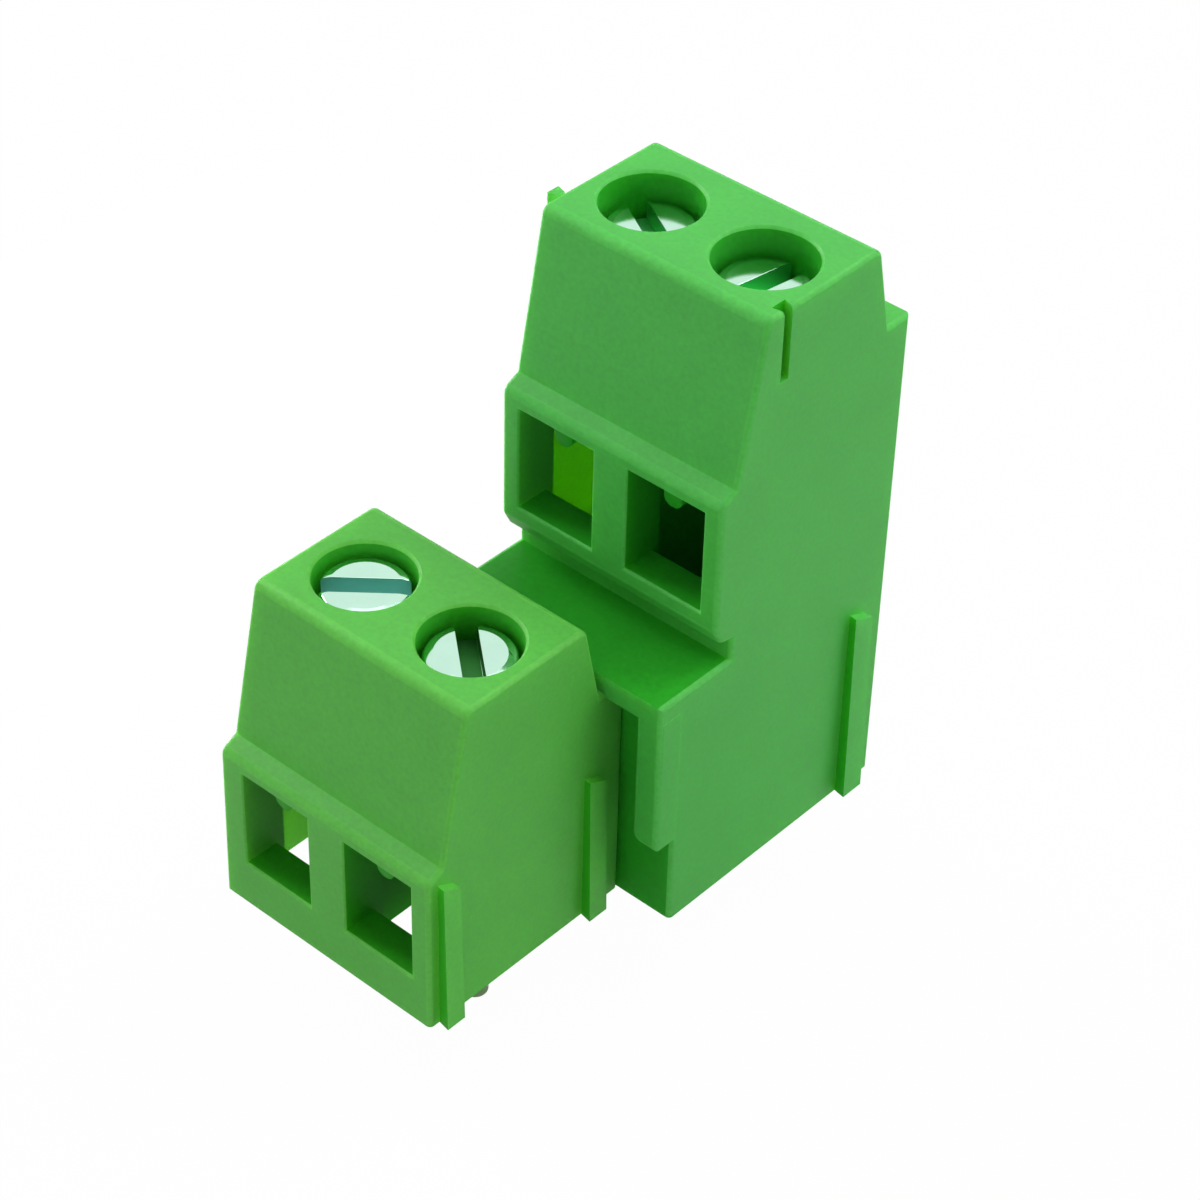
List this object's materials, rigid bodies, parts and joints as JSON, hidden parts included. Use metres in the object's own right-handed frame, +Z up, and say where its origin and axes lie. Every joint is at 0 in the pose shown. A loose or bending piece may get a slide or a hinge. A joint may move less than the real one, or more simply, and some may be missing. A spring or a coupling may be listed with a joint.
{
  "type": "pcb screw terminal",
  "caption": "Two-tier screw terminal for a circuit board: tall rear row half a pitch to the right of the front row, slotted screws in wells, rising wire cages, solder pins.",
  "frame": {"origin": "on the board plane, at the axis of the first front pin", "axes": "+X along a row to the right seen from the wire side, +Y from the wire side to the back, +Z up from the board"},
  "size_m": [0.0133, 0.0212, 0.0279],
  "materials": {
    "housing": "satin, slightly translucent green",
    "screw": "zinc plated",
    "cage": "zinc plated",
    "contact": "tinned"
  },
  "bodies": {
    "base": {"housing_front": "housing", "housing_rear": "housing", "contact_lower_1": "contact", "contact_lower_2": "contact", "contact_upper_1": "contact", "contact_upper_2": "contact"},
    "screw_lower_1": {"screw_lower_1": "screw"},
    "cage_lower_1": {"cage_lower_1": "cage"},
    "screw_lower_2": {"screw_lower_2": "screw"},
    "cage_lower_2": {"cage_lower_2": "cage"},
    "screw_upper_1": {"screw_upper_1": "screw"},
    "cage_upper_1": {"cage_upper_1": "cage"},
    "screw_upper_2": {"screw_upper_2": "screw"},
    "cage_upper_2": {"cage_upper_2": "cage"}
  },
  "joints": [
    {"name": "turn_lower_1", "type": "hinge", "parent": "base", "child": "screw_lower_1", "pos_m": [0, -0.00017, 0.011], "axis": [0, 0, 1], "range_deg": [0, 1920]},
    {"name": "drop_lower_1", "type": "slide", "parent": "base", "child": "cage_lower_1", "axis": [0, 0, -1], "range_m": [0, 0.0024]},
    {"name": "turn_lower_2", "type": "hinge", "parent": "base", "child": "screw_lower_2", "pos_m": [0.005, -0.00017, 0.011], "axis": [0, 0, 1], "range_deg": [0, 1920]},
    {"name": "drop_lower_2", "type": "slide", "parent": "base", "child": "cage_lower_2", "axis": [0, 0, -1], "range_m": [0, 0.0024]},
    {"name": "turn_upper_1", "type": "hinge", "parent": "base", "child": "screw_upper_1", "pos_m": [0.0025, 0.01133, 0.0219], "axis": [0, 0, 1], "range_deg": [0, 1920]},
    {"name": "drop_upper_1", "type": "slide", "parent": "base", "child": "cage_upper_1", "axis": [0, 0, -1], "range_m": [0, 0.0024]},
    {"name": "turn_upper_2", "type": "hinge", "parent": "base", "child": "screw_upper_2", "pos_m": [0.0075, 0.01133, 0.0219], "axis": [0, 0, 1], "range_deg": [0, 1920]},
    {"name": "drop_upper_2", "type": "slide", "parent": "base", "child": "cage_upper_2", "axis": [0, 0, -1], "range_m": [0, 0.0024]}
  ],
  "couplings": [
    {"joint": "turn_lower_1", "follows": "drop_lower_1", "rad_per_m": 13963},
    {"joint": "turn_lower_2", "follows": "drop_lower_2", "rad_per_m": 13963},
    {"joint": "turn_upper_1", "follows": "drop_upper_1", "rad_per_m": 13963},
    {"joint": "turn_upper_2", "follows": "drop_upper_2", "rad_per_m": 13963}
  ]
}
